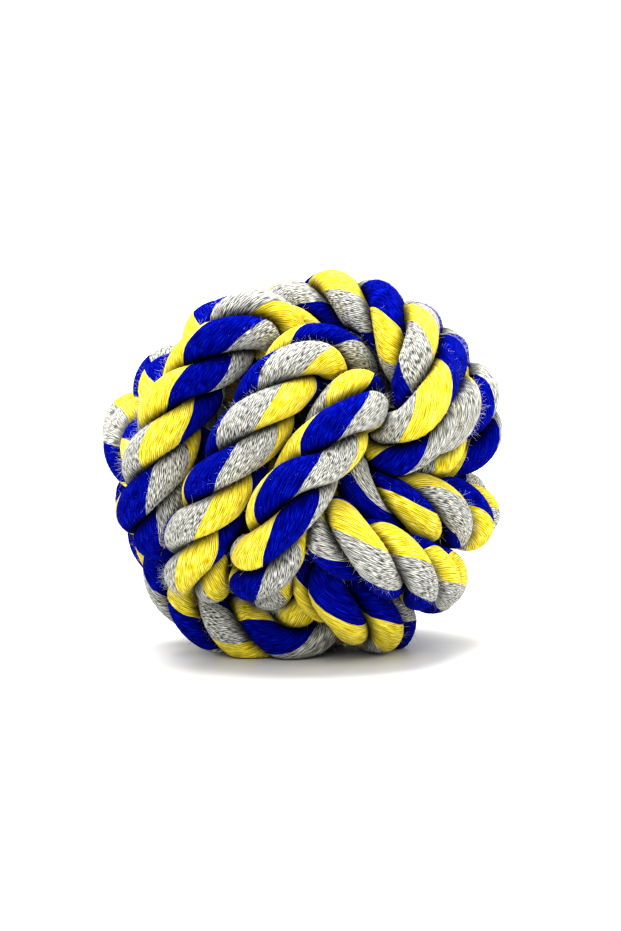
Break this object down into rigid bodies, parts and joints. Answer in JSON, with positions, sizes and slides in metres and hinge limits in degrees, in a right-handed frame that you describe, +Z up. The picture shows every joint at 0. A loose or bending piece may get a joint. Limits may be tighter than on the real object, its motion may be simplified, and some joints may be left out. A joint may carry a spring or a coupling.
{
  "type": "rope dog toy",
  "caption": "Ball tied from thick multicoloured cotton rope, for a dog to chew, tug and fetch.",
  "frame": {"origin": "on the floor, under the middle of the ball's box", "axes": "+Z up as the ball lies in the picture, and -Y towards the viewer, with +X to the viewer's right"},
  "size_m": [0.1026, 0.1084, 0.0972],
  "materials": {
    "blue_yarn": "royal blue spun cotton yarn, matt and slightly fuzzy",
    "yellow_yarn": "warm yellow spun cotton yarn, matt and slightly fuzzy",
    "grey_yarn": "heather grey spun cotton yarn, matt and slightly fuzzy",
    "binding_thread": "undyed twisted cotton thread"
  },
  "bodies": {
    "root": {"ply_1": "blue_yarn", "ply_2": "yellow_yarn", "ply_3": "grey_yarn", "first_end_whipping": "binding_thread", "last_end_whipping": "binding_thread"}
  },
  "joints": []
}
